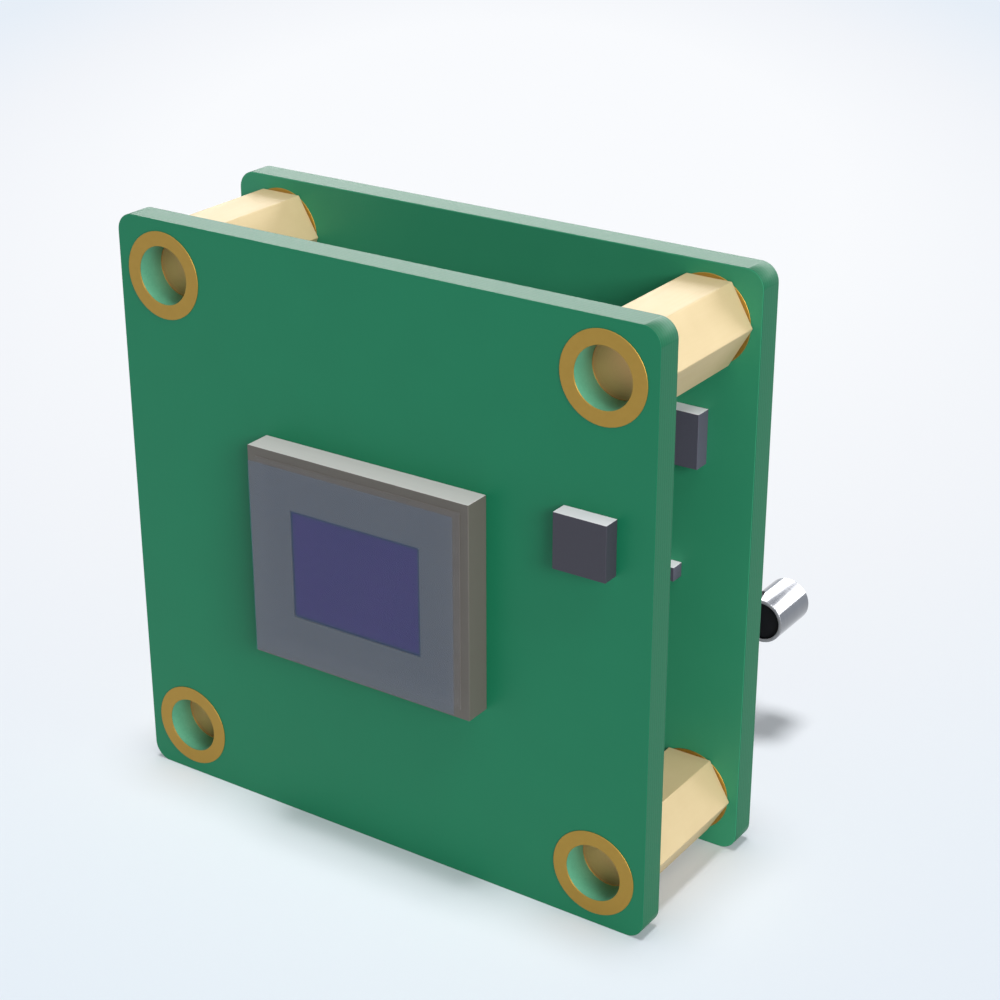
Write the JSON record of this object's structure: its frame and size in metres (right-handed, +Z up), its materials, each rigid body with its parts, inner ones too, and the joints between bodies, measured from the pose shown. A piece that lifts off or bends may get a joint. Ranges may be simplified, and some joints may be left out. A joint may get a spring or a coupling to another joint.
{
  "type": "camera module",
  "caption": "Bare camera module: an image sensor under glass on stacked square boards, hexagonal spacers between them and a shrouded plug at the rear.",
  "frame": {"origin": "below the middle of the overall box, on the surface that the boards' bottom edges stand on", "axes": "-Y the way the sensor looks, +Z up, +X to the right of someone who faces the sensor"},
  "size_m": [0.033, 0.027, 0.033],
  "materials": {
    "green_laminate": "solder-masked glass epoxy laminate, satin green",
    "gold_plate": "gold over nickel on copper, satin",
    "spacer_brass": "pale plated brass, satin",
    "ceramic": "fired alumina, dark grey, matte",
    "silicon": "bare silicon, grey, glossy",
    "pixels": "blue-violet pixel field, glossy",
    "lid_glass": "clear borosilicate glass, polished",
    "epoxy": "moulded black epoxy, matte",
    "link_polymer": "black liquid crystal polymer, matte",
    "shroud_nylon": "black glass-filled nylon, matte",
    "contact_plate": "gold-plated phosphor bronze, bright",
    "sleeve_nickel": "nickel-plated steel, polished",
    "insert_nylon": "black nylon, matte"
  },
  "bodies": {
    "root": {"sensor_board": "green_laminate", "interface_board": "green_laminate", "sensor_board_front_land_1": "gold_plate", "sensor_board_front_land_2": "gold_plate", "sensor_board_front_land_3": "gold_plate", "sensor_board_front_land_4": "gold_plate", "sensor_board_back_land_1": "gold_plate", "sensor_board_back_land_2": "gold_plate", "sensor_board_back_land_3": "gold_plate", "sensor_board_back_land_4": "gold_plate", "interface_board_front_land_1": "gold_plate", "interface_board_front_land_2": "gold_plate", "interface_board_front_land_3": "gold_plate", "interface_board_front_land_4": "gold_plate", "interface_board_back_land_1": "gold_plate", "interface_board_back_land_2": "gold_plate", "interface_board_back_land_3": "gold_plate", "interface_board_back_land_4": "gold_plate", "hex_spacer_1": "spacer_brass", "hex_spacer_2": "spacer_brass", "hex_spacer_3": "spacer_brass", "hex_spacer_4": "spacer_brass", "sensor_package": "ceramic", "sensor_die": "silicon", "pixel_array": "pixels", "cover_glass": "lid_glass", "sensor_board_chip": "epoxy", "interface_board_chip": "epoxy", "interface_board_small_chip": "epoxy", "link_plug_housing": "link_polymer", "link_socket_housing": "link_polymer", "link_plug_contacts_upper": "contact_plate", "link_plug_contacts_lower": "contact_plate", "link_socket_contacts_upper": "contact_plate", "link_socket_contacts_lower": "contact_plate", "rear_shroud": "shroud_nylon", "rear_contact_upper_1": "contact_plate", "rear_contact_upper_2": "contact_plate", "rear_contact_upper_3": "contact_plate", "rear_contact_upper_4": "contact_plate", "rear_contact_upper_5": "contact_plate", "rear_contact_upper_6": "contact_plate", "rear_contact_upper_7": "contact_plate", "rear_contact_upper_8": "contact_plate", "rear_contact_lower_1": "contact_plate", "rear_contact_lower_2": "contact_plate", "rear_contact_lower_3": "contact_plate", "rear_contact_lower_4": "contact_plate", "rear_contact_lower_5": "contact_plate", "rear_contact_lower_6": "contact_plate", "rear_contact_lower_7": "contact_plate", "rear_contact_lower_8": "contact_plate", "lock_sleeve_left": "sleeve_nickel", "lock_insert_left": "insert_nylon", "lock_sleeve_right": "sleeve_nickel", "lock_insert_right": "insert_nylon"}
  },
  "joints": []
}
